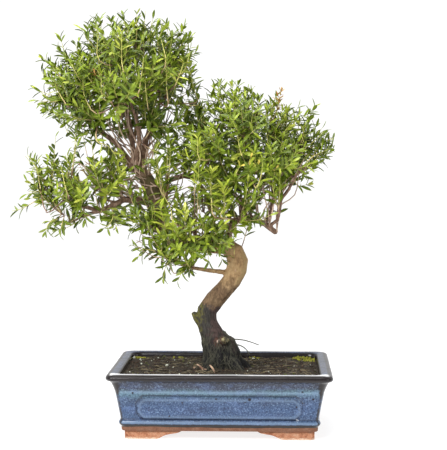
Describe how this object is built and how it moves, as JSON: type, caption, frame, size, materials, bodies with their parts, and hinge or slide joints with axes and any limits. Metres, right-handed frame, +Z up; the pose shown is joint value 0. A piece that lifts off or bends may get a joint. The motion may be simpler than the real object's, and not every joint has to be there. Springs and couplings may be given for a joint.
{
  "type": "potted bonsai tree",
  "caption": "Potted bonsai tree with an S-bent trunk, spreading limbs and dense sprays of small narrow leaves, in soil in a low rectangular glazed pot on bracket feet.",
  "frame": {"origin": "on the ground, under the middle of the whole object's box", "axes": "+Z up, +X to the right along the pot's long side as seen from the front, +Y away from the front"},
  "size_m": [0.4086, 0.2469, 0.5247],
  "materials": {
    "glaze": "gloss",
    "mesh_plastic": "matte",
    "soil": "matte",
    "bark": "matte",
    "leaf": "satin"
  },
  "bodies": {
    "root": {"drain_mesh_left": "mesh_plastic", "drain_mesh_right": "mesh_plastic", "pot": "glaze", "soil": "soil", "spray_crown_01": "leaf", "spray_crown_02": "leaf", "spray_crown_03": "leaf", "spray_crown_04": "leaf", "spray_crown_05": "leaf", "spray_crown_06": "leaf", "spray_crown_07": "leaf", "spray_crown_08": "leaf", "spray_crown_09": "leaf", "spray_crown_10": "leaf", "spray_crown_11": "leaf", "spray_crown_12": "leaf", "spray_crown_13": "leaf", "spray_crown_14": "leaf", "spray_crown_15": "leaf", "spray_crown_16": "leaf", "spray_crown_17": "leaf", "spray_left_01": "leaf", "spray_left_02": "leaf", "spray_left_03": "leaf", "spray_left_04": "leaf", "spray_left_05": "leaf", "spray_left_06": "leaf", "spray_low_01": "leaf", "spray_low_02": "leaf", "spray_low_03": "leaf", "spray_low_04": "leaf", "spray_low_05": "leaf", "spray_low_06": "leaf", "spray_low_07": "leaf", "spray_low_08": "leaf", "spray_right_01": "leaf", "spray_right_02": "leaf", "spray_right_03": "leaf", "spray_right_04": "leaf", "spray_right_05": "leaf", "spray_right_06": "leaf", "spray_right_07": "leaf", "spray_right_08": "leaf", "spray_right_09": "leaf", "spray_right_10": "leaf", "spray_right_11": "leaf", "spray_right_12": "leaf", "spray_right_13": "leaf", "spray_right_14": "leaf", "trunk": "bark"}
  },
  "joints": []
}
